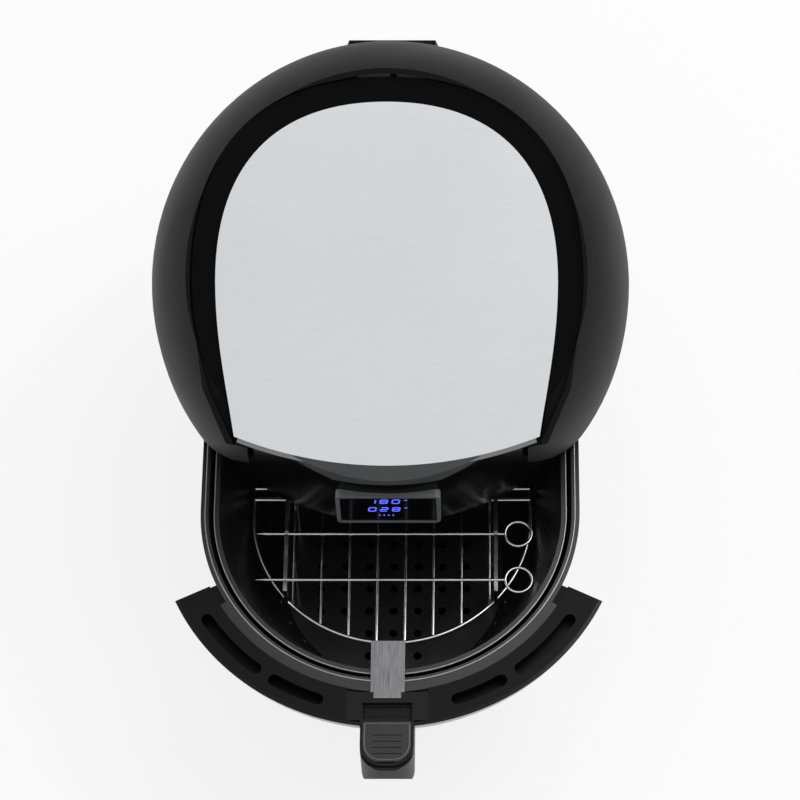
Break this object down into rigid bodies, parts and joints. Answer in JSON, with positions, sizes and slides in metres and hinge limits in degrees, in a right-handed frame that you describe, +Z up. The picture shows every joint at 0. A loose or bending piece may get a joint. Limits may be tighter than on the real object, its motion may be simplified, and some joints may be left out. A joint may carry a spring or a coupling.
{
  "type": "air fryer",
  "caption": "Ball-shaped countertop air fryer with a slanted silver top, front display, pull-out pan and basket with a latched handle, wire rack and skewers.",
  "frame": {"origin": "table level, at the middle of the footprint with the drawer pulled out as pictured", "axes": "+Z up, -Y toward the user (drawer and handle), +X to the user's right"},
  "size_m": [0.304, 0.466, 0.3446],
  "materials": {
    "shell_matte": "fine matte charcoal",
    "gloss_black": "polished black",
    "plate_silver": "fine brushed silver",
    "chin_grey": "satin dark grey paint",
    "bezel_silver": "satin silver paint",
    "display_glass": "dark display window",
    "board": "green laminate with parts",
    "base_black": "textured black",
    "foot_rubber": "matte rubber",
    "steel_screw": "plated steel",
    "zinc_sheet": "plain zinc-coated sheet",
    "nonstick": "satin non-stick coating",
    "element_steel": "heat-tinted steel tube",
    "ceramic": "unglazed ceramic",
    "chrome_wire": "bright chromed wire",
    "bracket_steel": "brushed stainless strip",
    "handle_black": "soft matte black",
    "guard_grey": "smoky translucent grey",
    "motor_metal": "grey motor can",
    "copper": "varnished copper windings",
    "bronze": "sintered bronze",
    "silicone": "black silicone"
  },
  "bodies": {
    "housing": {"base_tray": "base_black", "rubber_feet": "foot_rubber", "base_screws": "steel_screw", "outer_shell": "shell_matte", "top_deck": "gloss_black", "top_plate": "plate_silver", "chin_trim": "chin_grey", "front_fascia": "gloss_black", "display_bezel": "bezel_silver", "display_window": "display_glass", "display_board": "board", "rear_vent": "shell_matte", "rear_grille": "base_black", "mains_inlet": "foot_rubber", "cavity_liner": "zinc_sheet", "runner_left": "base_black", "runner_right": "base_black", "head_floor": "zinc_sheet", "head_screws": "steel_screw", "reflector": "zinc_sheet", "heating_element": "element_steel", "element_bushes": "ceramic", "element_clips": "zinc_sheet", "element_guard": "chrome_wire", "motor_bracket": "zinc_sheet", "motor_case": "motor_metal", "motor_stator": "copper", "bearing_lower": "bronze", "bearing_upper": "bronze", "temp_sensor": "element_steel", "thermal_fuse": "ceramic", "power_board": "board", "drawer_switch": "base_black"},
    "fan_rotor": {"motor_shaft": "chrome_wire", "motor_core": "motor_metal", "air_fan": "zinc_sheet", "fan_nut": "steel_screw", "cooling_fan": "base_black"},
    "drawer": {"pan": "nonstick", "panel_frame": "handle_black", "panel_skin": "gloss_black", "panel_screws": "steel_screw", "handle_body": "handle_black", "handle_cap": "handle_black", "basket": "nonstick", "basket_feet": "silicone", "basket_bracket": "bracket_steel", "bracket_screw": "steel_screw", "wire_rack": "chrome_wire", "rack_bar_left": "chrome_wire", "rack_bar_right": "chrome_wire"},
    "release_button": {"release_button": "gloss_black", "latch_stem": "handle_black"},
    "button_guard": {"button_guard": "guard_grey"},
    "skewer_front": {"skewer_front": "chrome_wire"},
    "skewer_rear": {"skewer_rear": "chrome_wire"}
  },
  "joints": [
    {"name": "drawer_slide", "type": "slide", "parent": "housing", "child": "drawer", "axis": [0, -1, 0], "range_m": [-0.135, 0.004]},
    {"name": "fan_spin", "type": "hinge", "parent": "housing", "child": "fan_rotor", "pos_m": [0, 0.076, 0.184], "axis": [0, 0, 1], "continuous": true},
    {"name": "button_press", "type": "slide", "parent": "drawer", "child": "release_button", "axis": [0, 0, -1], "range_m": [0, 0.0035], "stiffness_N_per_m": 500},
    {"name": "guard_slide", "type": "slide", "parent": "drawer", "child": "button_guard", "axis": [0, 1, 0], "range_m": [0, 0.012]},
    {"name": "skewer_front_turn", "type": "hinge", "parent": "drawer", "child": "skewer_front", "pos_m": [0, -0.0947, 0.1195], "axis": [1, 0, 0], "continuous": true},
    {"name": "skewer_rear_turn", "type": "hinge", "parent": "drawer", "child": "skewer_rear", "pos_m": [0, -0.0625, 0.1195], "axis": [1, 0, 0], "continuous": true}
  ]
}
